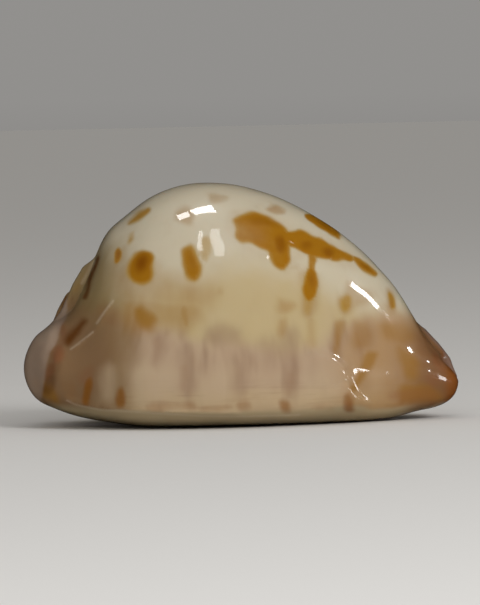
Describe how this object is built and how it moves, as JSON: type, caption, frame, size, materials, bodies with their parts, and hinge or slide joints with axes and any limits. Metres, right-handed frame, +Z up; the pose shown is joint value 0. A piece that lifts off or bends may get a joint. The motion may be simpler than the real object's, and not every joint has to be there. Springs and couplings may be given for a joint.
{
  "type": "cowrie shell",
  "caption": "Humped, egg-shaped hollow cowrie shell with a long toothed mouth along its flat base and a channel at each end.",
  "frame": {"origin": "middle of the shell's outline, on the plane that it rests on", "axes": "+X to the narrow front tip, +Z up through the hump, the outer lip on the -Y side and the inner lip on the +Y side"},
  "size_m": [0.066, 0.0447, 0.0365],
  "materials": {
    "enamel": "high gloss, cream with brown blotches"
  },
  "bodies": {
    "root": {"shell": "enamel"}
  },
  "joints": []
}
